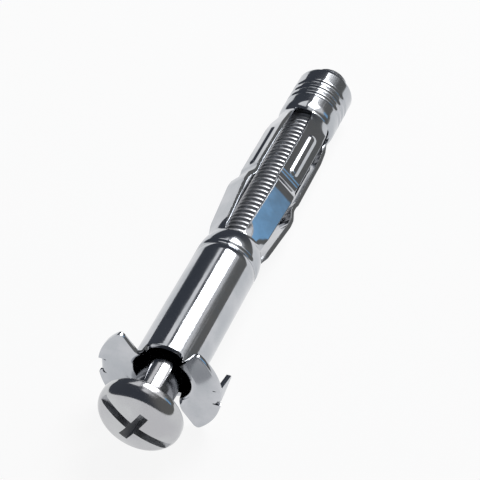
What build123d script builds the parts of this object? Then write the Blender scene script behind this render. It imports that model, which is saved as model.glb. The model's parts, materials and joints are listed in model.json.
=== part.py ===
from build123d import *
import os
from math import asin, atan2, cos, degrees, radians, sin, sqrt

# Hollow wall anchor: a slit and folded sheet steel sleeve, a nut crimped into its nose and
# a pan head screw. It is drawn along X, with the wall face of the flange at x = 0, the tail
# towards +X and the wings along Y, and then laid down as it comes to rest. All lengths are in
# millimetres and all angles in degrees.

# Screw
THREAD_DIAMETER = 5.0
SCREW_LENGTH = 65.0
SCREW_PROUD = 4.5
TIP_CHAMFER = 0.7
HEAD_DIAMETER = 10.0
HEAD_HEIGHT = 3.0
HEAD_EDGE_RADIUS = 1.6
HEAD_DOME_RADIUS = 11.0
HEAD_SEAT_RADIUS = 0.4
SLOT_WIDTH = 1.2
SLOT_DEPTH = 1.15
SLOT_ANGLE = 33.0
CROSS_WIDTH = 1.1
CROSS_SPAN = 5.4
CROSS_FLOOR_SPAN = 2.2
CROSS_DEPTH = 2.3

# Sheet and tube of the sleeve
SHEET = 0.55
TUBE_DIAMETER = 8.0
TUBE_LENGTH = 22.8
WAIST_DIAMETER = 7.2
NECK_LENGTH = 2.2
GROOVE_TO_NECK = 0.3
GROOVE_WIDTH = 0.8
GROOVE_DEPTH = 0.15

# Winged flange
FLANGE_DIAMETER = 15.0
FLANGE_BEND = 0.8
WING_HALF_SPAN = 53.0
WING_CORNER = 0.5
RELIEF_DEPTH = 1.4
RELIEF_CORNER = 0.6
TOOTH_WIDTH = 1.9
TOOTH_TIP = 0.3
TOOTH_LENGTH = 3.2
TOOTH_BEND = 0.25
TOOTH_INSET = 0.2
TOOTH_SIDE_GAP = 0.15

# Legs
LEG_COUNT = 4
LEG_TURN = 45.0
LEG_WIDTH = 3.2
LEG_CROWN = 0.08
FLARE_LENGTH = 9.0
PEAK_LENGTH = 1.5
KNUCKLE_LENGTH = 2.2
SPINE_LENGTH = 9.0
TUCK_LENGTH = 3.9
PEAK_REACH = 4.5
KNUCKLE_REACH = 3.86
SPINE_REACH = 4.0
LEG_SEAT = 0.02
LEG_ROOT = 0.3
BEAD_LENGTH = 8.4
BEAD_WIDTH = 1.4
BEAD_HEIGHT = 0.2
BEAD_GROOVE_WIDTH = 0.8

# Nose and nut
NOSE_DIAMETER = 7.8
NOSE_LENGTH = 8.6
NOSE_FLARE_LENGTH = 1.4
CRIMP_COUNT = 3
CRIMP_PITCH = 1.3
CRIMP_WIDTH = 0.7
CRIMP_DEPTH = 0.18
NUT_LENGTH = 5.6
NUT_SET_BACK = 1.2
NUT_CHAMFER = 0.3
NUT_CLEARANCE = 0.02
THREAD_CLEARANCE = 0.05

# Cuts run this far past the faces that they break
OVERRUN = 1.0

# Places and radii that follow from the sizes above
thread_radius = THREAD_DIAMETER / 2
head_radius = HEAD_DIAMETER / 2
tube_radius = TUBE_DIAMETER / 2
waist_radius = WAIST_DIAMETER / 2
nose_radius = NOSE_DIAMETER / 2
flange_radius = FLANGE_DIAMETER / 2
head_seat_x = -SHEET - SCREW_PROUD
tip_x = head_seat_x + SCREW_LENGTH
peak_x = TUBE_LENGTH + FLARE_LENGTH
knuckle_x = peak_x + PEAK_LENGTH
spine_x = knuckle_x + KNUCKLE_LENGTH
tuck_x = spine_x + SPINE_LENGTH
nose_x = tuck_x + TUCK_LENGTH
nose_end_x = nose_x + NOSE_LENGTH
nut_end_x = nose_end_x - NUT_SET_BACK
nut_x = nut_end_x - NUT_LENGTH
nut_middle_x = (nut_x + nut_end_x) / 2
crimp_places = [nut_middle_x + CRIMP_PITCH * (i - (CRIMP_COUNT - 1) / 2) for i in range(CRIMP_COUNT)]


def turned(edges):
    """The solid that a closed outline of (x, radius) edges sweeps round the X axis."""
    return revolve(make_face(edges), Axis.X)


def ringed_line(start, end, radius, rings, width, depth):
    """Edges along X at one radius, dipping by depth in an arc at each ring place."""
    edges = []
    x = start
    for place in rings:
        dip_start = place - width / 2
        dip_end = place + width / 2
        edges.append(Line((x, radius), (dip_start, radius)))
        edges.append(ThreePointArc((dip_start, radius), (place, radius - depth), (dip_end, radius)))
        x = dip_end
    edges.append(Line((x, radius), (end, radius)))
    return edges


def screw_head():
    """A pan head: flat seat, small edge under the rim, large edge radius and a shallow dome."""
    edge_centre_r = head_radius - HEAD_EDGE_RADIUS
    dome_centre_h = HEAD_HEIGHT - HEAD_DOME_RADIUS
    centre_distance = HEAD_DOME_RADIUS - HEAD_EDGE_RADIUS
    edge_centre_h = dome_centre_h + sqrt(centre_distance**2 - edge_centre_r**2)
    meet_angle = atan2(edge_centre_r, edge_centre_h - dome_centre_h)
    half_angle = meet_angle / 2
    edge_angle = (meet_angle + radians(90)) / 2

    def at(height, radius):
        return (head_seat_x - height, radius)

    def on_dome(angle):
        return at(dome_centre_h + HEAD_DOME_RADIUS * cos(angle), HEAD_DOME_RADIUS * sin(angle))

    def on_edge(angle):
        height = edge_centre_h + HEAD_EDGE_RADIUS * cos(angle)
        return at(height, edge_centre_r + HEAD_EDGE_RADIUS * sin(angle))

    seat_r = head_radius - HEAD_SEAT_RADIUS
    seat_arc = HEAD_SEAT_RADIUS * sin(radians(45))
    return turned([
        Line(at(0, 0), at(0, seat_r)),
        ThreePointArc(at(0, seat_r), at(HEAD_SEAT_RADIUS - seat_arc, seat_r + seat_arc),
                      at(HEAD_SEAT_RADIUS, head_radius)),
        Line(at(HEAD_SEAT_RADIUS, head_radius), at(edge_centre_h, head_radius)),
        ThreePointArc(at(edge_centre_h, head_radius), on_edge(edge_angle), on_edge(meet_angle)),
        ThreePointArc(on_dome(meet_angle), on_dome(half_angle), at(HEAD_HEIGHT, 0)),
        Line(at(HEAD_HEIGHT, 0), at(0, 0)),
    ])


def driver_recess():
    """The milled slot across the head and the tapered cross sunk through its middle."""
    top_x = head_seat_x - HEAD_HEIGHT
    slot_top_x = top_x - OVERRUN
    slot_floor_x = top_x + SLOT_DEPTH
    cross_floor_x = top_x + CROSS_DEPTH
    top_r = CROSS_SPAN / 2
    floor_r = CROSS_FLOOR_SPAN / 2
    into_head = (Align.MIN, Align.CENTER, Align.CENTER)
    slot_cut = slot_floor_x - slot_top_x
    slot = Pos(X=slot_top_x) * Box(slot_cut, HEAD_DIAMETER + OVERRUN, SLOT_WIDTH, align=into_head)
    taper = turned([
        Line((slot_top_x, 0), (slot_top_x, top_r)),
        Line((slot_top_x, top_r), (top_x, top_r)),
        Line((top_x, top_r), (cross_floor_x, floor_r)),
        Line((cross_floor_x, floor_r), (cross_floor_x, 0)),
        Line((cross_floor_x, 0), (slot_top_x, 0)),
    ])
    depth = cross_floor_x - slot_top_x + OVERRUN
    arm = Pos(X=slot_top_x) * Box(depth, CROSS_SPAN + OVERRUN, CROSS_WIDTH, align=into_head)
    cross = taper & (arm + Rot(X=90) * arm)
    return Rot(X=SLOT_ANGLE) * (slot + cross)


def screw():
    """Head and shank as one turned piece; the shank is as wide as its thread."""
    tip_r = thread_radius - TIP_CHAMFER
    shank = turned([
        Line((head_seat_x, 0), (head_seat_x, thread_radius)),
        Line((head_seat_x, thread_radius), (tip_x - TIP_CHAMFER, thread_radius)),
        Line((tip_x - TIP_CHAMFER, thread_radius), (tip_x, tip_r)),
        Line((tip_x, tip_r), (tip_x, 0)),
        Line((tip_x, 0), (head_seat_x, 0)),
    ])
    return screw_head() + shank - driver_recess()


def nut():
    """A plain bush with a ring groove for each crimp and a chamfered bore."""
    outer = nose_radius - SHEET - NUT_CLEARANCE
    bore = thread_radius + THREAD_CLEARANCE
    mouth = bore + NUT_CHAMFER
    return turned([
        Line((nut_x + NUT_CHAMFER, bore), (nut_x, mouth)),
        Line((nut_x, mouth), (nut_x, outer)),
        *ringed_line(nut_x, nut_end_x, outer, crimp_places, CRIMP_WIDTH, CRIMP_DEPTH),
        Line((nut_end_x, outer), (nut_end_x, mouth)),
        Line((nut_end_x, mouth), (nut_end_x - NUT_CHAMFER, bore)),
        Line((nut_end_x - NUT_CHAMFER, bore), (nut_x + NUT_CHAMFER, bore)),
    ])


def neck_arc(start, end, from_radius, to_radius):
    """A shoulder that leaves the tube gently and closes to the waist."""
    middle = (from_radius + to_radius) / 2
    bulge = (from_radius - to_radius) / 4
    return ThreePointArc((start, from_radius), ((start + end) / 2, middle + bulge), (end, to_radius))


def tube_with_flange():
    """The rolled tube, its ring groove and neck, and a whole round flange bent out of its front end."""
    inner = tube_radius - SHEET
    bend_r = tube_radius + FLANGE_BEND
    arc = sin(radians(45))
    neck_x = TUBE_LENGTH - NECK_LENGTH
    groove = [neck_x - GROOVE_TO_NECK - GROOVE_WIDTH / 2]
    front_bend = FLANGE_BEND + SHEET
    back_middle = (FLANGE_BEND - FLANGE_BEND * arc, bend_r - FLANGE_BEND * arc)
    front_middle = (FLANGE_BEND - front_bend * arc, bend_r - front_bend * arc)
    outside = ringed_line(FLANGE_BEND, neck_x, tube_radius, groove, GROOVE_WIDTH, GROOVE_DEPTH)
    inside = ringed_line(FLANGE_BEND, neck_x, inner, groove, GROOVE_WIDTH, GROOVE_DEPTH)
    return turned([
        Line((-SHEET, flange_radius), (0, flange_radius)),
        Line((0, flange_radius), (0, bend_r)),
        ThreePointArc((0, bend_r), back_middle, (FLANGE_BEND, tube_radius)),
        *outside,
        neck_arc(neck_x, TUBE_LENGTH, tube_radius, waist_radius),
        Line((TUBE_LENGTH, waist_radius), (TUBE_LENGTH, waist_radius - SHEET)),
        neck_arc(neck_x, TUBE_LENGTH, inner, waist_radius - SHEET),
        *inside,
        ThreePointArc((FLANGE_BEND, inner), front_middle, (-SHEET, bend_r)),
        Line((-SHEET, bend_r), (-SHEET, flange_radius)),
    ])


def wing_outline():
    """One wing seen along the axis: a sector with rounded corners and a notch in its rim for the tooth."""
    side = radians(WING_HALF_SPAN)
    low = (flange_radius * cos(side), -flange_radius * sin(side))
    high = (flange_radius * cos(side), flange_radius * sin(side))
    sector = make_face([
        Line((0, 0), low),
        ThreePointArc(low, (flange_radius, 0), high),
        Line(high, (0, 0)),
    ])
    corners = sector.vertices().sort_by(Axis.X)[1:]
    notch_cut = flange_radius - tooth_root() + OVERRUN
    notch_width = TOOTH_WIDTH + 2 * TOOTH_SIDE_GAP
    notch = Rectangle(notch_cut, notch_width, align=(Align.MIN, Align.CENTER))
    return fillet(corners, WING_CORNER) - Pos(X=tooth_root()) * notch


def tooth_root():
    """Radius at which the sheet of a tooth starts to bend back out of its wing."""
    return flange_radius - TOOTH_INSET - SHEET - TOOTH_BEND


def gap_cutter():
    """Everything round the flange that is no wing, and a relief cut into the tube between the wings."""
    front_x = -SHEET - OVERRUN
    length = FLANGE_BEND - front_x
    along_axis = Plane(origin=(front_x, 0, 0), x_dir=(0, 1, 0), z_dir=(1, 0, 0))
    wing = extrude(along_axis * wing_outline(), amount=length)
    disc = extrude(along_axis * Circle(flange_radius + OVERRUN), amount=length)
    relief_width = 2 * tube_radius * cos(radians(WING_HALF_SPAN))
    relief_length = RELIEF_DEPTH - front_x
    relief_face = Pos(X=front_x) * Rectangle(relief_length, relief_width, align=(Align.MIN, Align.CENTER))
    inner_corners = relief_face.vertices().sort_by(Axis.X)[2:]
    relief = extrude(fillet(inner_corners, RELIEF_CORNER), amount=flange_radius + OVERRUN, both=True)
    return disc - wing - Rot(X=180) * wing + relief


def tooth():
    """The pointed tab bent back from the rim of the wing on the +Y side."""
    root = tooth_root()
    bend_x = TOOTH_BEND
    outer_bend = TOOTH_BEND + SHEET
    arc = sin(radians(45))
    outer = root + outer_bend
    inner = root + TOOTH_BEND
    outer_middle = (bend_x - outer_bend * arc, root + outer_bend * arc)
    inner_middle = (bend_x - TOOTH_BEND * arc, root + TOOTH_BEND * arc)
    bent_strip = make_face([
        Line((0, root), (-SHEET, root)),
        ThreePointArc((-SHEET, root), outer_middle, (bend_x, outer)),
        Line((bend_x, outer), (TOOTH_LENGTH, outer)),
        Line((TOOTH_LENGTH, outer), (TOOTH_LENGTH, inner)),
        Line((TOOTH_LENGTH, inner), (bend_x, inner)),
        ThreePointArc((bend_x, inner), inner_middle, (0, root)),
    ])
    strip = extrude(bent_strip, amount=TOOTH_WIDTH / 2, both=True)
    half_width = TOOTH_WIDTH / 2
    half_tip = TOOTH_TIP / 2
    point = make_face(Polyline(
        (-SHEET, -half_width), (bend_x, -half_width), (TOOTH_LENGTH, -half_tip),
        (TOOTH_LENGTH, half_tip), (bend_x, half_width), (-SHEET, half_width), close=True,
    ))
    return strip & extrude(Plane.XZ * point, amount=flange_radius, both=True)


def arc_sag(radius):
    """How far the middle of a leg stands above its edges where the leg follows a round wall."""
    return radius - sqrt(radius**2 - (LEG_WIDTH / 2) ** 2)


def leg_section(x, reach, thickness, outer_sag, inner_sag):
    """The cross-section of a leg at x: a strip of sheet, bowed by a sag, out to reach at its middle."""
    half = LEG_WIDTH / 2
    inner = reach - thickness
    outline = make_face([
        ThreePointArc((reach - outer_sag, -half), (reach, 0), (reach - outer_sag, half)),
        Line((reach - outer_sag, half), (inner - inner_sag, half)),
        ThreePointArc((inner - inner_sag, half), (inner, 0), (inner - inner_sag, -half)),
        Line((inner - inner_sag, -half), (reach - outer_sag, -half)),
    ])
    return Plane(origin=(x, 0, 0), x_dir=(0, 1, 0), z_dir=(1, 0, 0)) * outline


def leg():
    """One leg on the +Y side: it flares, folds at the knuckle, runs straight and tucks in to the nose."""
    root_reach = waist_radius - LEG_SEAT
    root_thickness = SHEET - 2 * LEG_SEAT
    root_sags = (arc_sag(root_reach), arc_sag(root_reach - root_thickness))

    def root(x):
        return leg_section(x, root_reach, root_thickness, *root_sags)

    folds = [
        (peak_x, PEAK_REACH),
        (knuckle_x, PEAK_REACH),
        ((knuckle_x + spine_x) / 2, KNUCKLE_REACH),
        (spine_x, SPINE_REACH),
        (tuck_x, SPINE_REACH),
    ]
    sections = [root(TUBE_LENGTH - LEG_ROOT), root(TUBE_LENGTH)]
    sections += [leg_section(x, reach, SHEET, LEG_CROWN, LEG_CROWN) for x, reach in folds]
    sections += [root(nose_x), root(nose_x + LEG_ROOT)]
    strip = loft(sections, ruled=True)
    bead_place = ((spine_x + tuck_x) / 2, 0)
    from_axis = Plane(origin=(0, 0, 0), x_dir=(1, 0, 0), z_dir=(0, 1, 0))
    bead_face = from_axis * Pos(*bead_place) * SlotOverall(BEAD_LENGTH, BEAD_WIDTH)
    groove_face = from_axis * Pos(*bead_place) * SlotOverall(BEAD_LENGTH - BEAD_WIDTH, BEAD_GROOVE_WIDTH)
    bead = extrude(Pos(Y=SPINE_REACH - SHEET / 2) * bead_face, amount=SHEET / 2 + BEAD_HEIGHT)
    groove = extrude(groove_face, amount=SPINE_REACH - SHEET + BEAD_HEIGHT)
    return strip + bead - groove


def nose():
    """The round end that holds the nut: a flare up from the legs and a row of rolled ring crimps."""
    inner = nose_radius - SHEET
    wide_x = nose_x + NOSE_FLARE_LENGTH
    return turned([
        Line((nose_x, waist_radius - SHEET), (nose_x, waist_radius)),
        neck_arc(wide_x, nose_x, nose_radius, waist_radius),
        *ringed_line(wide_x, nose_end_x, nose_radius, crimp_places, CRIMP_WIDTH, CRIMP_DEPTH),
        Line((nose_end_x, nose_radius), (nose_end_x, inner)),
        *ringed_line(wide_x, nose_end_x, inner, crimp_places, CRIMP_WIDTH, CRIMP_DEPTH),
        neck_arc(wide_x, nose_x, inner, waist_radius - SHEET),
    ])


def sleeve():
    """Tube, wings, teeth, legs and nose, all of one sheet."""
    front = tube_with_flange() - gap_cutter()
    whole = front + nose()
    for turn in (0, 180):
        whole += Rot(X=turn) * tooth()
    for i in range(LEG_COUNT):
        whole += Rot(X=LEG_TURN + i * 360 / LEG_COUNT) * leg()
    return whole


def resting_place(pieces):
    """Lays the anchor on the lower wing corners and the rim of its nose, centred over the origin."""
    corner_r = flange_radius - WING_CORNER
    corner_angle = radians(WING_HALF_SPAN) - asin(WING_CORNER / corner_r)
    wing_drop = corner_r * sin(corner_angle) + WING_CORNER
    lean = Rot(Y=degrees(atan2(wing_drop - nose_radius, nose_end_x)))
    boxes = [(lean * piece).bounding_box() for piece in pieces]
    low_x = min(box.min.X for box in boxes)
    high_x = max(box.max.X for box in boxes)
    low_z = min(box.min.Z for box in boxes)
    return Pos(X=-(low_x + high_x) / 2, Z=-low_z) * lean


os.makedirs("parts", exist_ok=True)
nodes = {"sleeve": sleeve(), "nut": nut(), "screw": screw()}
place = resting_place(nodes.values())
for name, piece in nodes.items():
    export_step(place * piece, f"parts/{name}.step")
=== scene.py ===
# %% [markdown]
# # A hollow wall anchor, step by step
#
# The anchor is three pieces of zinc plated steel: a sleeve folded from one sheet, a nut held in its nose, and a
# screw that runs through both. Every piece is then drawn again here with more detail and takes the place of its
# solid.

import json

import bmesh
import bpy
import numpy as np
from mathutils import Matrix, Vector


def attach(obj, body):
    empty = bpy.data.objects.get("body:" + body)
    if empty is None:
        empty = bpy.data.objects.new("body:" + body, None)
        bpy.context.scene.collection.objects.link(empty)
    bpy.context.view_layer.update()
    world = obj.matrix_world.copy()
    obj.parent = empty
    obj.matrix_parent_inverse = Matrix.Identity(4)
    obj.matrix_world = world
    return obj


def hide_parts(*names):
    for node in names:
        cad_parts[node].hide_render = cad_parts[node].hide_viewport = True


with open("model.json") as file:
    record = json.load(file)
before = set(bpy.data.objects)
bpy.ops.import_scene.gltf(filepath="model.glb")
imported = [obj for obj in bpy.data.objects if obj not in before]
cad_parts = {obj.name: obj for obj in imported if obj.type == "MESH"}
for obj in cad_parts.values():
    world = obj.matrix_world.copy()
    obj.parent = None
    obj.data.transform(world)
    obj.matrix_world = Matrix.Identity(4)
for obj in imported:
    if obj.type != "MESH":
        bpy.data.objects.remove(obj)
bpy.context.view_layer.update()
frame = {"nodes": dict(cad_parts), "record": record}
scene = bpy.context.scene
scene.view_settings.view_transform = "Standard"
print("solids:", sorted(frame["nodes"]))

# %% [markdown]
# ## One frame for all pieces
#
# The anchor lies on a table and leans a little, because its wings are wider than its nose. It is easier to draw it
# straight, along its own axis, in millimetres. One function then lays every point down. It could read the lean from
# an angle, but the record already tells where the wall face of the flange is and which way it faces, so that is used.

# %% Lay points down
MM = 0.001
wall_face = next(mount for mount in frame["record"]["mounts"] if mount["name"] == "wall_face")
TAIL = np.array(wall_face["axis"])
SIDE = np.array([0.0, 1.0, 0.0])
UP = np.cross(TAIL, SIDE)
ORIGIN = np.array(wall_face["pos_m"]) * [1, 0, 1]


def laid_down(x, y, z):
    """Millimetres in the anchor to metres in the row frame: origin plus x tail-wards, y wing-wards, z up."""
    x, y, z = np.broadcast_arrays(x, y, z)
    return ORIGIN + MM * (x[..., None] * TAIL + y[..., None] * SIDE + z[..., None] * UP)


def turned(x, radius, turn):
    """A point on a turned shape: y is the radius times the cosine of the turn, z the radius times its sine."""
    return laid_down(x, radius * np.cos(turn), radius * np.sin(turn))


print("axis of the anchor:", TAIL.round(4))

# %% [markdown]
# ## From grids of points to a mesh
#
# Each shape below is a grid of points worked out by a formula. Four neighbours in a grid make one face. Where two
# grids meet, their edge points fall together, and merging them turns several grids into one closed sheet.

# %% Make a mesh
SAME_POINT = 0.002
SHARP_ANGLE = np.radians(40)


def piece_from_grids(name, grids):
    """Faces run row, next column, next row, so that rows towards the tail and rising turns face outwards."""
    points, faces, first = [], [], 0
    for grid in grids:
        rows, columns = grid.shape[:2]
        number = first + np.arange(rows * columns).reshape(rows, columns)
        corners = [number[:-1, :-1], number[:-1, 1:], number[1:, 1:], number[1:, :-1]]
        faces.append(np.stack(corners, axis=-1).reshape(-1, 4))
        points.append(grid.reshape(-1, 3))
        first += rows * columns
    mesh = bpy.data.meshes.new(name)
    mesh.from_pydata(np.concatenate(points).tolist(), [], np.concatenate(faces).tolist())
    work = bmesh.new()
    work.from_mesh(mesh)
    bmesh.ops.remove_doubles(work, verts=work.verts, dist=SAME_POINT * MM)
    work.to_mesh(mesh)
    work.free()
    mesh.polygons.foreach_set("use_smooth", np.ones(len(mesh.polygons), dtype=bool))
    piece = bpy.data.objects.new(name, mesh)
    scene.collection.objects.link(piece)
    print(name, "has", len(mesh.polygons), "faces")
    return piece


def rounded(piece, width):
    """Breaks the sharp edges by a small bevel and lets the broad faces keep their own normals."""
    edge = piece.modifiers.new("broken edges", "BEVEL")
    edge.width = width * MM
    edge.segments = 2
    edge.limit_method = "ANGLE"
    edge.angle_limit = SHARP_ANGLE
    piece.modifiers.new("even shading", "WEIGHTED_NORMAL").keep_sharp = True


# %% [markdown]
# ## The sleeve: where its columns run
#
# The real sleeve is punched flat, rolled into a tube and folded. Its outline has to follow slits, wings and teeth.
# A shape could be cut out of a plain tube, but cuts leave ragged faces that shine badly. So the columns of the grid
# are placed on the edges themselves: on the sides of the legs, on the wings' sides and on the teeth.

# %% Columns round the tube
SHEET = 0.55
TUBE_R, WAIST_R, NOSE_R, FLANGE_R = 4.0, 3.6, 3.9, 7.5
BEND = 0.8
LEG_HALF, LEG_TURN = 1.6, 45
TOOTH_ROOT, TOOTH_HALF, TOOTH_TIP_HALF, NOTCH_HALF = 6.5, 0.95, 0.15, 1.1
WING_HALF = 53.0
WING_CORNER_COLUMNS = [47, 49, 50.6, 51.8]
leg_side = np.degrees(np.arcsin(LEG_HALF / WAIST_R))
arc_r = TUBE_R + BEND
tooth_side = np.degrees(np.arcsin(TOOTH_HALF / arc_r))
notch_side = np.degrees(np.arcsin(NOTCH_HALF / arc_r))
leg_from, leg_to = LEG_TURN - leg_side, LEG_TURN + leg_side
quarter = np.concatenate([
    np.linspace(0, tooth_side, 5),
    np.linspace(notch_side, leg_from, 3)[:-1],
    np.linspace(leg_from, WING_CORNER_COLUMNS[0], 14)[:-1],
    WING_CORNER_COLUMNS,
    np.linspace(WING_HALF, leg_to, 11)[:-1],
    np.linspace(leg_to, 90, 7),
])
half_turn = np.concatenate([-quarter[:0:-1], quarter])
whole_turn = np.radians(np.concatenate([half_turn, 180 + half_turn[1:]]))
print(len(whole_turn), "columns; a leg covers", round(2 * leg_side, 1), "degrees")

# %% [markdown]
# ## The sleeve: tube and nose
#
# Tube and nose are round, so each is a radius that changes along the axis. The tube has one rolled ring groove and
# narrows to a waist. The nose grows out of the waist and has three ring crimps that hold the nut. Between the wings
# the tube's front edge is cut back with rounded corners, so its first rows start later there.

# %% Tube and nose
TUBE_END, NECK_LENGTH = 22.8, 2.2
NOSE_START, NOSE_FLARE, NOSE_END = 48.4, 1.4, 57.0
GROOVES = [(19.9, 0.8, 0.15), (51.7, 0.7, 0.18), (53.0, 0.7, 0.18), (54.3, 0.7, 0.18)]
RING_START, RING_END, CRIMPS_START, CRIMPS_END = 19.5, 20.3, 51.35, 54.65
RELIEF, RELIEF_CORNER = 1.4, 0.6
FRONT_ROWS_END = 3.0


def sleeve_radius(x):
    """Tube, less a parabola at the neck and at the nose's flare, less a parabola in each ring groove."""
    neck = np.clip((x - TUBE_END + NECK_LENGTH) / NECK_LENGTH, 0, 1)
    flare = np.clip((NOSE_START + NOSE_FLARE - x) / NOSE_FLARE, 0, 1)
    tube = TUBE_R - (TUBE_R - WAIST_R) * neck**2
    nose = NOSE_R - (NOSE_R - WAIST_R) * flare**2
    radius = np.where(x < (TUBE_END + NOSE_START) / 2, tube, nose)
    for place, width, depth in GROOVES:
        radius = radius - depth * np.clip(1 - (2 * (x - place) / width) ** 2, 0, None)
    return radius


def front_edge(turn):
    """Start of the tube: the bend beside a wing; between wings the relief's floor with its rounded corners."""
    across = np.abs(TUBE_R * np.cos(turn))
    corner = TUBE_R * np.cos(np.radians(WING_HALF)) - RELIEF_CORNER
    into_corner = np.clip((across - corner) / RELIEF_CORNER, 0, 1)
    edge = RELIEF - RELIEF_CORNER + RELIEF_CORNER * np.sqrt(1 - into_corner**2)
    return np.maximum(edge, BEND)


def rows_along(*stretches):
    """Places along the axis: evenly from a start to an end in each stretch, which ends where the next one starts."""
    runs = [np.linspace(start, end, count) for start, end, count in stretches]
    return np.concatenate([run[:-1] for run in runs[:-1]] + runs[-1:])[:, None]


share = np.linspace(0, 1, 9)[:, None]
front_x = front_edge(whole_turn) * (1 - share) + FRONT_ROWS_END * share
tube_x = rows_along((FRONT_ROWS_END, RING_START, 23), (RING_START, RING_END, 11), (RING_END, TUBE_END, 15))
nose_x = rows_along((NOSE_START, CRIMPS_START, 15), (CRIMPS_START, CRIMPS_END, 49), (CRIMPS_END, NOSE_END, 9))
sleeve_grids = [turned(x, sleeve_radius(x), whole_turn) for x in (front_x, tube_x, nose_x)]
print("tube and nose:", [grid.shape[:2] for grid in sleeve_grids])

# %% [markdown]
# ## The sleeve: wings and teeth
#
# A wing is bent out of the tube's front end and lies flat against the wall. In its rim is a notch, and the strip
# from that notch is bent back to a pointed tooth that bites into the wall. The flat part is ruled: straight lines
# run from an inner arc to the rim. Beside the notch the lines lean over until they are parallel with its sides.

# %% Wings
TINY = 1e-6
WING_CORNER, LEAN_END = 0.5, 44
TOOTH_LENGTH, TOOTH_BEND = 3.2, 0.25
wing_turn = np.radians(half_turn[np.abs(half_turn) <= WING_HALF + TINY])


def wing_rim(turn):
    """The flange's radius; near a corner, the far crossing with the circle that rounds it."""
    corner_r = FLANGE_R - WING_CORNER
    corner_turn = np.radians(WING_HALF) - np.arcsin(WING_CORNER / corner_r)
    past = np.clip(np.abs(turn) - corner_turn, 0, None)
    reach = np.sqrt(np.clip(WING_CORNER**2 - (corner_r * np.sin(past)) ** 2, 0, None))
    return np.where(past > 0, corner_r * np.cos(past) + reach, FLANGE_R)


def between(start, end, steps):
    """Rows of straight lines from a start row to an end row."""
    share = np.linspace(0, 1, steps)[:, None, None]
    return start * (1 - share) + end * share


across = arc_r * np.sin(wing_turn)
in_notch = np.abs(across) <= NOTCH_HALF + TINY
in_tooth = np.abs(across) <= TOOTH_HALF + TINY
rim_notch = np.arcsin(NOTCH_HALF / FLANGE_R)
lean = np.clip((np.radians(LEAN_END) - np.abs(wing_turn)) / np.radians(LEAN_END - notch_side), 0, 1)
rim_turn = wing_turn + np.sign(wing_turn) * (rim_notch - np.radians(notch_side)) * lean
inner_row = np.stack([arc_r * np.cos(wing_turn), across], axis=-1)
rim_row = wing_rim(rim_turn)[:, None] * np.stack([np.cos(rim_turn), np.sin(rim_turn)], axis=-1)
notch_start = inner_row[in_notch][0, 0]
notch_end = np.sqrt(FLANGE_R**2 - NOTCH_HALF**2)
notch_share = (TOOTH_ROOT - notch_start) / (notch_end - notch_start)
middle_row = inner_row + notch_share * (rim_row - inner_row)
middle_row[in_notch] = np.stack([np.full(in_notch.sum(), TOOTH_ROOT), across[in_notch]], axis=-1)
left = np.where(across <= -NOTCH_HALF + TINY)[0]
right = np.where(across >= NOTCH_HALF - TINY)[0]


def wing_grids(flip):
    """Flat grids at x = 0, then the bend: a quarter circle round (x = bend, radius = tube + bend)."""
    flat = [between(rim_row[left], middle_row[left], 6), between(rim_row[right], middle_row[right], 6),
            between(middle_row, inner_row, 5)]
    grids = [laid_down(0, flip * grid[..., 0], flip * grid[..., 1]) for grid in flat]
    swing = np.linspace(0, np.pi / 2, 10)[:, None]
    spread = arc_r - BEND * np.sin(swing)
    turn = wing_turn + (np.pi if flip < 0 else 0)
    grids.append(turned(BEND - BEND * np.cos(swing), spread, turn))
    return grids


def tooth_grid(flip):
    """A strip that runs along x, turns a quarter circle into the wing, and narrows evenly to its tip."""
    run = np.linspace(TOOTH_LENGTH, TOOTH_BEND, 9)[:, None]
    swing = np.linspace(0, np.pi / 2, 7)[1:, None]
    x = np.concatenate([run, TOOTH_BEND - TOOTH_BEND * np.sin(swing)])
    out = np.concatenate([0 * run + TOOTH_ROOT + TOOTH_BEND, TOOTH_ROOT + TOOTH_BEND * np.cos(swing)])
    taper = np.clip((x - TOOTH_BEND) / (TOOTH_LENGTH - TOOTH_BEND), 0, 1)
    narrow = 1 - taper * (1 - TOOTH_TIP_HALF / TOOTH_HALF)
    return laid_down(x, flip * out, flip * across[in_tooth] * narrow)


for flip in (1, -1):
    sleeve_grids += wing_grids(flip) + [tooth_grid(flip)]
print("wing columns:", len(wing_turn), "of which the tooth has", in_tooth.sum())

# %% [markdown]
# ## The sleeve: four legs
#
# The slit sheet between waist and nose is folded in advance, so that it bulges the right way when the screw pulls.
# Each leg rises in a flat facet to a peak, drops at the knuckle, runs straight with a pressed bead along it and tucks
# in to the nose. One height over the axis does it all: how far the leg's middle reaches, less the bow of the sheet,
# plus the bead.

# %% Legs
REACH = np.array([(TUBE_END, WAIST_R), (31.8, 4.5), (33.0, 4.42), (34.2, 3.86), (35.15, 3.86), (35.5, 4.0),
                  (44.5, 4.0), (NOSE_START, WAIST_R)])
FOLD_HALF, ROUND_END, LEG_CROWN = 0.25, 2.2, 0.03
KNUCKLE_START, KNUCKLE_END, TUCK_START = 31.2, 36.6, 43.2
BEAD_MIDDLE, BEAD_LENGTH, BEAD_HALF, BEAD_BACK, BEAD_HEIGHT = 40.0, 8.4, 0.72, 0.25, 0.22


def smooth(value, start, end):
    """Nought before start, one after end, and three squares less two cubes between them."""
    share = np.clip((value - start) / (end - start), 0, 1)
    return share * share * (3 - 2 * share)


def leg_reach(x):
    """The folds as straight lines, averaged over a short stretch so that each fold gets a small radius."""
    window = np.minimum(FOLD_HALF, np.minimum(x - TUBE_END, NOSE_START - x))
    steps = np.linspace(-1, 1, 15)
    return np.interp(x[..., None] + window[..., None] * steps, REACH[:, 0], REACH[:, 1]).mean(axis=-1)


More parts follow.
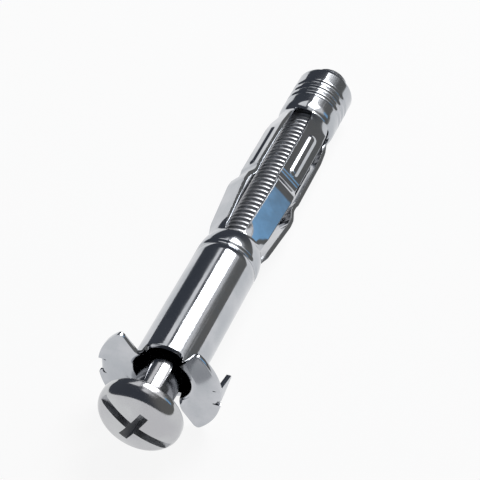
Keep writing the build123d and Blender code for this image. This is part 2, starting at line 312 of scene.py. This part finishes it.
def leg_height(x, across):
    """Reach, less a round bow near both ends and a slight crown elsewhere, plus a bead with a round back."""
    round_bow = WAIST_R - np.sqrt(WAIST_R**2 - across**2)
    crown = LEG_CROWN * (across / LEG_HALF) ** 2
    flat = smooth(x, TUBE_END, TUBE_END + ROUND_END) * smooth(-x, -NOSE_START, -NOSE_START + ROUND_END)
    along = np.clip(np.abs(x - BEAD_MIDDLE) - BEAD_LENGTH / 2 + BEAD_HALF, 0, None)
    aside = np.hypot(along, across)
    bead = BEAD_HEIGHT * (1 - smooth(aside, BEAD_BACK, BEAD_HALF))
    return leg_reach(x) - round_bow * (1 - flat) - crown * flat + bead


on_leg = (half_turn >= leg_from - TINY) & (half_turn <= leg_to + TINY)
leg_across = WAIST_R * np.sin(np.radians(half_turn[on_leg] - LEG_TURN))
leg_x = rows_along((TUBE_END, KNUCKLE_START, 29), (KNUCKLE_START, KNUCKLE_END, 37), (KNUCKLE_END, TUCK_START, 23),
                   (TUCK_START, NOSE_START, 29))
for middle in np.radians(LEG_TURN + 90 * np.arange(4)):
    mirrored = -1 if np.sin(2 * middle) < 0 else 1
    offset = np.sort(mirrored * leg_across)
    height = leg_height(leg_x, offset)
    y = height * np.cos(middle) - offset * np.sin(middle)
    z = height * np.sin(middle) + offset * np.cos(middle)
    sleeve_grids.append(laid_down(leg_x, y, z))
print("one leg:", len(leg_x), "rows of", len(leg_across), "points")

# %% [markdown]
# ## The sleeve as one sheet
#
# All grids lie on the side of the sheet that shows on the tube. A Solidify modifier gives the sheet its thickness,
# away from that side, just as the real sheet has one thickness all over. A tiny bevel breaks the cut edges, because
# a real punched edge is never perfectly sharp and its glint is what shows how thick the sheet is.

# %% Thicken the sleeve
CUT_EDGE = 0.04
sleeve = piece_from_grids("folded_sleeve", sleeve_grids)
wall = sleeve.modifiers.new("sheet", "SOLIDIFY")
wall.thickness = SHEET * MM
wall.offset = -1
wall.use_even_offset = True
rounded(sleeve, CUT_EDGE)

# %% [markdown]
# ## The nut
#
# The nut is a plain turned bush inside the nose. Its outside dips where the crimps press in, and its bore has a
# chamfer at both ends. It could be a cylinder with cuts, but a profile of x and radius that is carried once round the
# axis holds the dips and the chamfers as well, just as a lathe would turn them.

# %% Turn the nut
ring_turn = np.linspace(0, 2 * np.pi, 73)
NUT_START, NUT_END, NUT_R, NUT_BORE, NUT_CHAMFER = 50.2, 55.8, 3.33, 2.55, 0.3


def nut_profile():
    """Bore, front face, outside with parabolic dips, back face and bore again, as one closed loop."""
    x = np.linspace(NUT_START, NUT_END, 41)
    outside = NUT_R - NOSE_R + sleeve_radius(np.maximum(x, NOSE_START + NOSE_FLARE))
    mouth = NUT_BORE + NUT_CHAMFER
    front = [(NUT_START + NUT_CHAMFER, NUT_BORE), (NUT_START, mouth)]
    back = [(NUT_END, mouth), (NUT_END - NUT_CHAMFER, NUT_BORE), (NUT_START + NUT_CHAMFER, NUT_BORE)]
    return np.array(front + list(zip(x, outside)) + back)


loop = nut_profile()
nut = piece_from_grids("nose_nut", [turned(loop[:, :1], loop[:, 1:], ring_turn)])
nut.data.set_sharp_from_angle(angle=np.radians(30))

# %% [markdown]
# ## The screw's head
#
# The head is a pan head: a shallow dome, a large round edge and a flat seat. Seen from the side it is two arcs that
# meet without a corner. The recess is a milled slot with a tapered cross pressed through its middle. It could be
# drawn into the grid, but the cut has sharp walls, so it is cut out by Boolean modifiers with three plain wedges.

# %% Turn the head
SEAT_X, HEAD_R, HEAD_HEIGHT, EDGE_R, DOME_R = -5.05, 5.0, 3.0, 1.6, 11.0
SEAT_EDGE, SEAT_RING = 0.4, 3.4
APEX_X = SEAT_X - HEAD_HEIGHT
edge_r = HEAD_R - EDGE_R
dome_h = HEAD_HEIGHT - DOME_R
edge_h = dome_h + np.sqrt((DOME_R - EDGE_R) ** 2 - edge_r**2)
meet = np.arctan2(edge_r, edge_h - dome_h)


def head_profile():
    """Height and radius: an arc for the dome, a tighter arc for the edge, a small arc to the seat, the seat."""
    dome = np.linspace(0, meet, 25)[:-1]
    edge = np.linspace(meet, np.pi / 2, 25)
    seat = np.linspace(0, np.pi / 2, 7)
    height = np.concatenate([dome_h + DOME_R * np.cos(dome), edge_h + EDGE_R * np.cos(edge),
                             SEAT_EDGE - SEAT_EDGE * np.sin(seat), [0, 0]])
    radius = np.concatenate([DOME_R * np.sin(dome), edge_r + EDGE_R * np.sin(edge),
                             HEAD_R - SEAT_EDGE + SEAT_EDGE * np.cos(seat), [SEAT_RING, 0]])
    return SEAT_X - height, radius


head_turn = np.linspace(0, 2 * np.pi, 121)
x, radius = head_profile()
head = piece_from_grids("screw_head", [turned(x[:, None], radius[:, None], head_turn)])

# %% Cut the recess
SLOT_TURN = np.radians(33)
SLOT_DEPTH, SLOT_HALF_LENGTH, SLOT_HALF_WIDTH = 1.15, 6.0, 0.6
CROSS_DEPTH, CROSS_TOP, CROSS_FLOOR, CROSS_HALF_WIDTH = 2.3, 2.7, 1.1, 0.55
ABOVE = 1.0


def wedge(name, depth, top_half, floor_half, half_width, quarter_turn):
    """A block whose two ends lean: its length runs evenly from the top to the floor of the cut."""
    lean = (top_half - floor_half) / depth
    levels = [(APEX_X - ABOVE, top_half + lean * ABOVE), (APEX_X + depth, floor_half)]
    corners = np.array([(x, along * length, across * half_width) for x, length in levels
                        for along, across in ((-1, -1), (1, -1), (1, 1), (-1, 1))])
    turn = SLOT_TURN + quarter_turn
    y = corners[:, 1] * np.cos(turn) - corners[:, 2] * np.sin(turn)
    z = corners[:, 1] * np.sin(turn) + corners[:, 2] * np.cos(turn)
    faces = [(0, 1, 2, 3), (7, 6, 5, 4), (0, 4, 5, 1), (1, 5, 6, 2), (2, 6, 7, 3), (3, 7, 4, 0)]
    mesh = bpy.data.meshes.new(name)
    mesh.from_pydata(laid_down(corners[:, 0], y, z).tolist(), [], faces)
    work = bmesh.new()
    work.from_mesh(mesh)
    bmesh.ops.recalc_face_normals(work, faces=work.faces)
    work.to_mesh(mesh)
    work.free()
    block = bpy.data.objects.new(name, mesh)
    scene.collection.objects.link(block)
    return block


cross = (CROSS_DEPTH, CROSS_TOP, CROSS_FLOOR, CROSS_HALF_WIDTH)
cutters = [wedge("slot_cutter", SLOT_DEPTH, SLOT_HALF_LENGTH, SLOT_HALF_LENGTH, SLOT_HALF_WIDTH, 0),
           wedge("cross_cutter_a", *cross, 0), wedge("cross_cutter_b", *cross, np.pi / 2)]
for cutter in cutters:
    cut = head.modifiers.new(cutter.name, "BOOLEAN")
    cut.operation = "DIFFERENCE"
    cut.object = cutter
    cut.solver = "EXACT"
bpy.context.view_layer.update()
cut_head = bpy.data.meshes.new_from_object(head.evaluated_get(bpy.context.evaluated_depsgraph_get()))
for made in [head, *cutters]:
    bpy.data.objects.remove(made)
print("head with recess:", len(cut_head.polygons), "faces")

# %% [markdown]
# ## The screw's shank and thread
#
# A thread is one ridge that winds round the shank. Its profile, a root, a flank, a crest and a flank, is carried
# along a helix: one turn moves it one pitch along the axis. The next turn's root starts where the last flank ends, so
# the strip closes on itself. A Screw modifier could wind it too, but the formula also lets the ridge fade in at the
# shank, and at the tip it holds every point inside a cone, which gives the chamfered end.

# %% Wind the thread
THREAD_R, PITCH, THREAD_DEPTH, TIP_X, TIP_CHAMFER = 2.5, 0.8, 0.36, 59.95, 0.7
THREAD_START, FADE_TURNS = 21.95, 1.5
INTO_HEAD, SHANK_CLOSE, TIP_RING = 0.5, 1.9, 0.9
steps_a_turn = 48


def thread_grid():
    """x is the start plus pitch times (turns + place in the profile); the radius is the profile in the cone."""
    turns = np.arange(int(np.ceil((TIP_X - THREAD_START) / PITCH) + 1) * steps_a_turn + 1) / steps_a_turn
    place = np.array([0, 0.04, 0.08, 0.28, 0.34, 0.42, 0.62, 0.70, 0.76, 0.96, 1.0])
    height = np.array([0, 0, 0.08, 0.86, 0.96, 1, 1, 0.96, 0.86, 0.08, 0])
    x = THREAD_START + PITCH * (turns + place[:, None])
    fade = smooth(x, THREAD_START, THREAD_START + FADE_TURNS * PITCH)
    radius = THREAD_R - THREAD_DEPTH * (1 - height[:, None]) * fade
    x = np.minimum(x, TIP_X)
    cone = THREAD_R - TIP_CHAMFER + (TIP_X - x)
    return turned(x, np.minimum(radius, cone), 2 * np.pi * turns)


shank_turn = np.linspace(0, 2 * np.pi, steps_a_turn + 1)
SHANK_END = THREAD_START + PITCH
shank = np.array([(SEAT_X - INTO_HEAD, THREAD_R), (SHANK_END, THREAD_R), (SHANK_END, SHANK_CLOSE)])
tip = np.array([(TIP_X, THREAD_R - TIP_CHAMFER), (TIP_X, TIP_RING), (TIP_X, 0)])
screw = piece_from_grids("pan_head_screw", [
    thread_grid(),
    turned(shank[:, :1], shank[:, 1:], shank_turn),
    turned(tip[:, :1], tip[:, 1:], shank_turn),
])
both = bmesh.new()
both.from_mesh(screw.data)
both.from_mesh(cut_head)
both.to_mesh(screw.data)
both.free()
screw.data.set_sharp_from_angle(angle=np.radians(50))
print("screw:", len(screw.data.polygons), "faces")

# %% [markdown]
# ## A true shine on the head
#
# The cut leaves long thin faces on the dome, and shading that is averaged from them shows streaks. A reflection
# follows the normal and not the face, so the dome and its round edge get the normals of their arcs, by formula. The
# same look at the mesh tells which corners lie in the recess and on the thread. Tools and rolling leave those duller,
# so an attribute marks them for the finish. In the recess its darker grey is also painted shade in the slot.

# %% Normals of the head
ON_ARC, SAME_WAY = 0.01, 0.94
RECESS_FROM, THREAD_DULL = 0.55, 0.75


def read(values, name, width, kind=np.float64):
    """One property of every element as an array with that many columns."""
    flat = np.empty(len(values) * width, dtype=kind)
    values.foreach_get(name, flat)
    return flat.reshape(-1, width) if width > 1 else flat


def arc_normals(height, radius, centre_h, centre_r, arc):
    """Away from the arc's centre, and how far each point lies off the arc."""
    rise, out = height - centre_h, radius - centre_r
    distance = np.hypot(rise, out)
    return np.stack([rise, out], axis=-1) / distance[:, None], np.abs(distance - arc)


mesh = screw.data
corner = read(mesh.loops, "vertex_index", 1, np.int32)
local = (read(mesh.vertices, "co", 3)[corner] - ORIGIN) / MM
height, side, rise = SEAT_X - local @ TAIL, local @ SIDE, local @ UP
radius = np.hypot(side, rise)
on_dome, off_dome = arc_normals(height, radius, dome_h, 0, DOME_R)
on_edge, off_edge = arc_normals(height, radius, edge_h, edge_r, EDGE_R)
dome = (off_dome < ON_ARC) & (radius <= DOME_R * np.sin(meet) + ON_ARC)
edge = (off_edge < ON_ARC) & ~dome & (height > edge_h - ON_ARC)
slope = np.where(dome[:, None], on_dome, on_edge)
away = (side[:, None] * SIDE + rise[:, None] * UP) / np.maximum(radius, TINY)[:, None]
formula = slope[:, 1:] * away - slope[:, :1] * TAIL
of_face = np.repeat(read(mesh.polygons, "normal", 3), read(mesh.polygons, "loop_total", 1, np.int32), axis=0)
agree = (dome | edge) & ((formula * of_face).sum(axis=1) > SAME_WAY)
normals = np.where(agree[:, None], formula, read(mesh.corner_normals, "vector", 3))
mesh.normals_split_custom_set(normals.tolist())
in_recess = ~agree & (height > RECESS_FROM)
on_thread = SEAT_X - height > SHANK_END + ON_ARC
# In the recess the dull value's darker grey is partly painted shade; on the thread it is a rougher finish.
dullness_and_shade = (in_recess + THREAD_DULL * on_thread).astype(np.float32)
mesh.attributes.new("dull", "FLOAT", "CORNER").data.foreach_set("value", dullness_and_shade)
print("corners with normals by formula:", agree.sum(), "and in the recess:", in_recess.sum())

# %% [markdown]
# ## Shader sums
#
# A finish is a small sum of node values. Wrapping a socket in a class lets the sum be written in plain Python, and
# each operator adds its Math node. Every other node comes from one method.

# %% A socket to calculate with


class Socket:
    """A node's output. Adding, taking away and multiplying add Math nodes to the same tree."""

    def __init__(self, tree, output=None):
        self.tree = tree
        self.output = output

    def node(self, kind, settings=None, sockets=None, output=0):
        """Adds a node, sets its settings, then fills its sockets with values or links."""
        made = self.tree.nodes.new(kind)
        for name, value in (settings or {}).items():
            setattr(made, name, value)
        for name, value in (sockets or {}).items():
            if isinstance(value, Socket):
                self.tree.links.new(value.output, made.inputs[name])
            else:
                made.inputs[name].default_value = value
        return Socket(self.tree, made.outputs[output] if made.outputs else None)

    def sibling(self, name):
        """Another output of the node that this one belongs to."""
        return Socket(self.tree, self.output.node.outputs[name])

    def math(self, operation, *values):
        """A Math node that works on these values."""
        return self.node("ShaderNodeMath", {"operation": operation}, dict(enumerate(values)))

    def blend(self, low, high):
        """Colour: low where this value is nought, high where it is one."""
        sockets = {"Factor": self, 6: low, 7: high}
        return self.node("ShaderNodeMix", {"data_type": "RGBA"}, sockets, 2)

    def step(self, start, end):
        """Runs smoothly from nought at start to one at end."""
        settings = {"interpolation_type": "SMOOTHSTEP"}
        sockets = {"Value": self, "From Min": start, "From Max": end}
        return self.node("ShaderNodeMapRange", settings, sockets)

    def band(self, start, end, soft):
        """One between start and end, and nought elsewhere; each side takes the width of soft."""
        return self.step(start, start + soft) * (1 - self.step(end, end + soft))

    def __add__(self, other):
        return self.math("ADD", self, other)

    def __sub__(self, other):
        return self.math("SUBTRACT", self, other)

    def __mul__(self, other):
        return self.math("MULTIPLY", self, other)

    def __rsub__(self, other):
        return self.math("SUBTRACT", other, self)

    __radd__ = __add__
    __rmul__ = __mul__


def fresh(owner):
    """An empty node tree of a material or world, ready for sums."""
    owner.use_nodes = True
    owner.node_tree.nodes.clear()
    return Socket(owner.node_tree)


# %% [markdown]
# ## Bright zinc plate
#
# Zinc plated steel mirrors its surroundings, with a slight blue tint. Rolled sheet is never quite even, so a faint
# ripple bends the reflections, and handling leaves patches that shine a little less. Noise on the piece's own
# coordinates gives both. An image could be painted, but noise has no seams and needs no unwrapping. Where the dull
# attribute says so, the plate is greyer and rougher; in the screw's recess that grey is partly painted shade.

# %% Plate the pieces
# Greyer plate where the dull attribute is set; in the screw's recess this grey is partly painted shade.
DULL_AND_SHADE_GREY = (0.45, 0.46, 0.48, 1)
PATCH_SCALE, PATCH_ROUGHER, WORN_ROUGHER = 240.0, 0.08, 0.35


def zinc_plate(name, dull, bright, roughness, ripple, grain):
    """Colour and roughness follow soft noise and the dull attribute; the normal follows a ripple of about 1 mm."""
    material = bpy.data.materials.new(name)
    plate = fresh(material)
    place = plate.node("ShaderNodeTexCoord", output="Object")
    cloud = plate.node("ShaderNodeTexNoise", {}, {"Vector": place, "Scale": PATCH_SCALE, "Detail": 4.0})
    fine = plate.node("ShaderNodeTexNoise", {}, {"Vector": place, "Scale": grain, "Detail": 2.0})
    patch = cloud.step(0.35, 0.7)
    # Darker grey where the dull attribute is set: partly painted shade in the screw's recess, rougher finish on the
    # thread.
    dull_and_shade = plate.node("ShaderNodeAttribute", {"attribute_name": "dull"}, output="Fac")
    bump = plate.node("ShaderNodeBump", {}, {"Height": fine, "Strength": 1.0, "Distance": ripple * MM})
    shine = plate.node("ShaderNodeBsdfPrincipled", {}, {
        "Base Color": dull_and_shade.blend(patch.blend(dull, bright), DULL_AND_SHADE_GREY),
        "Metallic": 1.0,
        "Roughness": roughness + PATCH_ROUGHER * (1 - patch) + WORN_ROUGHER * dull_and_shade,
        "Normal": bump,
    })
    plate.node("ShaderNodeOutputMaterial", {}, {"Surface": shine})
    return material


sleeve_zinc = zinc_plate("sleeve_zinc", (0.46, 0.48, 0.51, 1), (0.55, 0.56, 0.59, 1), 0.06, 0.004, 900.0)
screw_zinc = zinc_plate("screw_zinc", (0.48, 0.48, 0.50, 1), (0.55, 0.56, 0.57, 1), 0.08, 0.003, 700.0)
nut_zinc = zinc_plate("nut_zinc", (0.42, 0.43, 0.46, 1), (0.49, 0.50, 0.53, 1), 0.2, 0.004, 700.0)
parts = [(sleeve, "sleeve_body", "sleeve", sleeve_zinc), (nut, "sleeve_body", "nut", nut_zinc),
         (screw, "screw_body", "screw", screw_zinc)]
for piece, body, node, finish in parts:
    piece.data.materials.clear()
    piece.data.materials.append(finish)
    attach(piece, body)
    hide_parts(node)
print("plated:", [piece.name for piece, *rest in parts])

# %% [markdown]
# ## The table and the studio
#
# Bright metal looks like what stands round it. Here that is a white table and a white world, which mirrors see as
# the camera does, and a belt of dark cards between them, which draws the long dark bands along the tube. The cards
# are painted on one far sphere that the camera doesn't see and that is clear wherever no card hangs. The belt reaches
# higher in front of the head, where it darkens the head's top, and it has one blue window, which the flat facet of a
# leg mirrors. The lamp hangs on the tail's side, so that the tube mirrors it as a white streak. The table keeps part
# of its shadow.

# %% Table
WHITE = (1, 1, 1, 1)
GLOW = 0.9
bpy.ops.mesh.primitive_plane_add(size=4)
table = bpy.context.object
table.name = "table"
table_white = bpy.data.materials.new("table_white")
top = fresh(table_white)
ray = top.node("ShaderNodeLightPath", output="Is Camera Ray")
seen = GLOW * (ray + ray.sibling("Is Glossy Ray") + ray.sibling("Is Transmission Ray"))
paper = top.node("ShaderNodeBsdfDiffuse", {}, {"Color": (0.75, 0.75, 0.76, 1)})
glow = top.node("ShaderNodeEmission", {}, {"Color": WHITE, "Strength": 1.0})
mixed = top.node("ShaderNodeMixShader", {}, {0: seen, 1: paper, 2: glow})
top.node("ShaderNodeOutputMaterial", {}, {"Surface": mixed})
table.data.materials.append(table_white)
print("table:", tuple(table.dimensions.to_2d()), "metres")

# %% World and cards
BELT_SHADY, BELT_PALE = (0.064, 0.071, 0.086, 1), (0.17, 0.17, 0.164, 1)
WINDOW_BLUE = (0.29, 0.57, 0.89, 1)
BELT_TOP, BELT_SLOPE, BELT_IN_FRONT, BELT_TORN = 0.582, 0.123, 0.4, 0.8
SOFT_EDGE, SOFTER_EDGE, LINE_DARK = 0.015, 0.07, 0.9
CARDS_AWAY = 30
studio = bpy.data.worlds.new("studio")
scene.world = studio
sky = fresh(studio)
backdrop = sky.node("ShaderNodeBackground", {}, {"Color": WHITE, "Strength": 1.0})
sky.node("ShaderNodeOutputWorld", {}, {"Surface": backdrop})

bpy.ops.mesh.primitive_uv_sphere_add(segments=96, ring_count=48, radius=CARDS_AWAY)
cards = bpy.context.object
cards.name = "cards"
cards.visible_camera = False
card_grey = bpy.data.materials.new("card_grey")
card = fresh(card_grey)
spot = card.node("ShaderNodeNewGeometry", output="Position")
way = card.node("ShaderNodeVectorMath", {"operation": "NORMALIZE"}, {0: spot}, "Vector")
tail_way = card.node("ShaderNodeSeparateXYZ", {}, {0: way}, "X")
wing_way, height = tail_way.sibling("Y"), tail_way.sibling("Z")
ragged = card.node("ShaderNodeTexNoise", {}, {"Vector": way, "Scale": 45.0, "Detail": 3.0})
in_front = (-1 * tail_way).step(-0.45, -0.2)
pale_side = (-1 * wing_way).step(0.1, 0.4)
torn = (ragged - 0.5) * pale_side
belt_top = BELT_TOP + BELT_SLOPE * wing_way + BELT_IN_FRONT * in_front + BELT_TORN * torn
soft = SOFT_EDGE + SOFTER_EDGE * pale_side
overhead = (height - belt_top).step(-1 * soft, soft)
line = wing_way.band(0.05, 0.19, 0.03) * height.step(0.4, 0.5)
window = tail_way.band(0.43, 0.58, 0.03) * height.band(0.18, 0.48, 0.04) * (-1 * wing_way).step(0.62, 0.68)
gap = overhead * (1 - LINE_DARK * line) * (1 - window)
belt = wing_way.step(-0.7, 0.0).blend(BELT_PALE, BELT_SHADY)
sheet = card.node("ShaderNodeEmission", {}, {"Color": window.blend(belt, WINDOW_BLUE), "Strength": 1.0})
clear = card.node("ShaderNodeBsdfTransparent", {}, {"Color": WHITE})
hung = card.node("ShaderNodeMixShader", {}, {0: gap, 1: sheet, 2: clear})
card.node("ShaderNodeOutputMaterial", {}, {"Surface": hung})
cards.data.materials.append(card_grey)
print("cards:", len(card_grey.node_tree.nodes), "nodes")

# %% Lamp and camera
AZIMUTH, ELEVATION, DISTANCE, LENS = np.radians(-69), np.radians(44), 0.21, 128
lamp = bpy.data.objects.new("soft_lamp", bpy.data.lights.new("soft_lamp", "AREA"))
lamp.data.size = 0.22
lamp.data.energy = 1.5
lamp.location = (0.28, -0.07, 0.36)
lamp.rotation_euler = lamp.location.to_track_quat("Z", "Y").to_euler()
scene.collection.objects.link(lamp)

level = np.array([np.sin(AZIMUTH), -np.cos(AZIMUTH), 0])
direction = np.cos(ELEVATION) * level + np.sin(ELEVATION) * np.array([0, 0, 1])
target = np.array([-0.001, 0.0, 0.005])
camera = bpy.data.objects.new("camera", bpy.data.cameras.new("camera"))
camera.location = target + DISTANCE * direction
camera.rotation_euler = Vector(-direction).to_track_quat("-Z", "Y").to_euler()
camera.data.lens = LENS
camera.data.clip_start = 0.01
scene.collection.objects.link(camera)
scene.camera = camera
print("camera at", tuple(round(value, 4) for value in camera.location))
